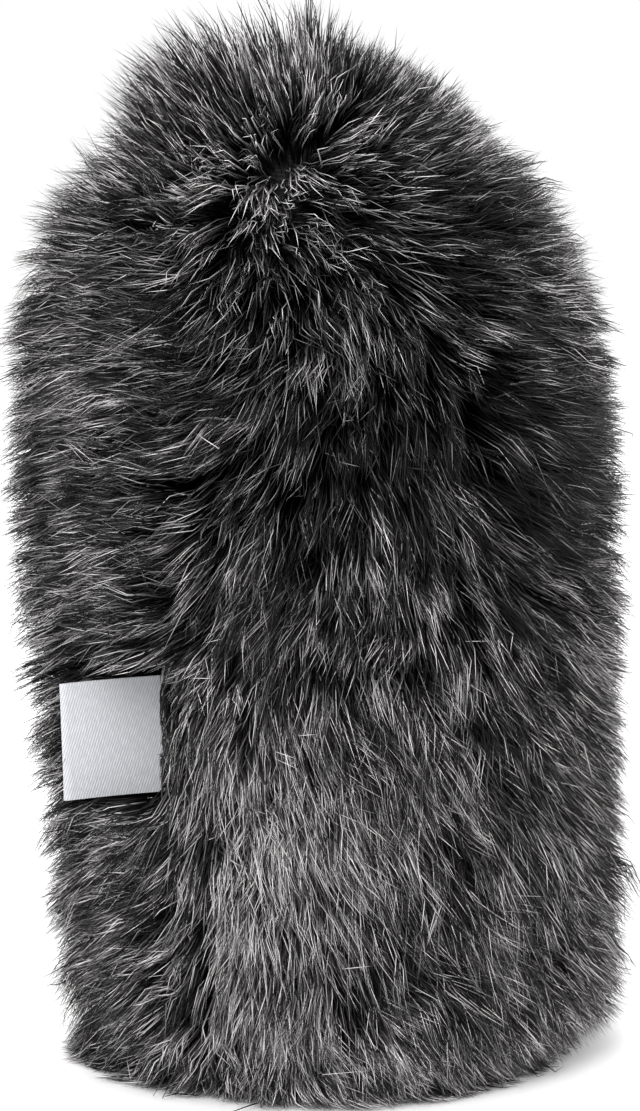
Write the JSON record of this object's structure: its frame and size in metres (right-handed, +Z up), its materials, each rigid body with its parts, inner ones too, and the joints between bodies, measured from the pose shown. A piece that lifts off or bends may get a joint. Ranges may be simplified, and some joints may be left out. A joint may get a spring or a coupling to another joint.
{
  "type": "furry windscreen",
  "caption": "Slip-on furry windscreen for a short shotgun microphone: long pile fur cover over a bored foam core, on a moulded rubber boot that grips the microphone.",
  "frame": {"origin": "middle of the rubber boot's underside, on the surface it stands on", "axes": "+Z up the microphone's axis to the nose; side seams at +X and -X, the label at -X; the front of the cover faces -Y"},
  "size_m": [0.1258, 0.1272, 0.2217],
  "materials": {
    "fur_fabric": "dark grey long pile synthetic fur, dark at the roots and lighter at the tips",
    "moulded_rubber": "black moulded rubber, fine matt spark texture",
    "open_cell_foam": "charcoal reticulated polyurethane foam",
    "fine_foam": "black fine-pored polyurethane foam",
    "closed_cell_foam": "black cross-linked closed-cell foam",
    "polyester_thread": "black bonded polyester thread",
    "woven_tape": "black woven polypropylene tape",
    "woven_label": "pale grey woven satin ribbon, blank"
  },
  "bodies": {
    "root": {"base_boot": "moulded_rubber", "hem_tape": "woven_tape", "base_washer": "closed_cell_foam", "foam_tube": "open_cell_foam", "foam_nose_cap": "open_cell_foam", "mic_liner": "fine_foam", "nose_stop_pad": "closed_cell_foam", "fur_front_panel": "fur_fabric", "fur_back_panel": "fur_fabric", "seam_stitches": "polyester_thread", "hem_stitches": "polyester_thread", "label_tag": "woven_label"}
  },
  "joints": []
}
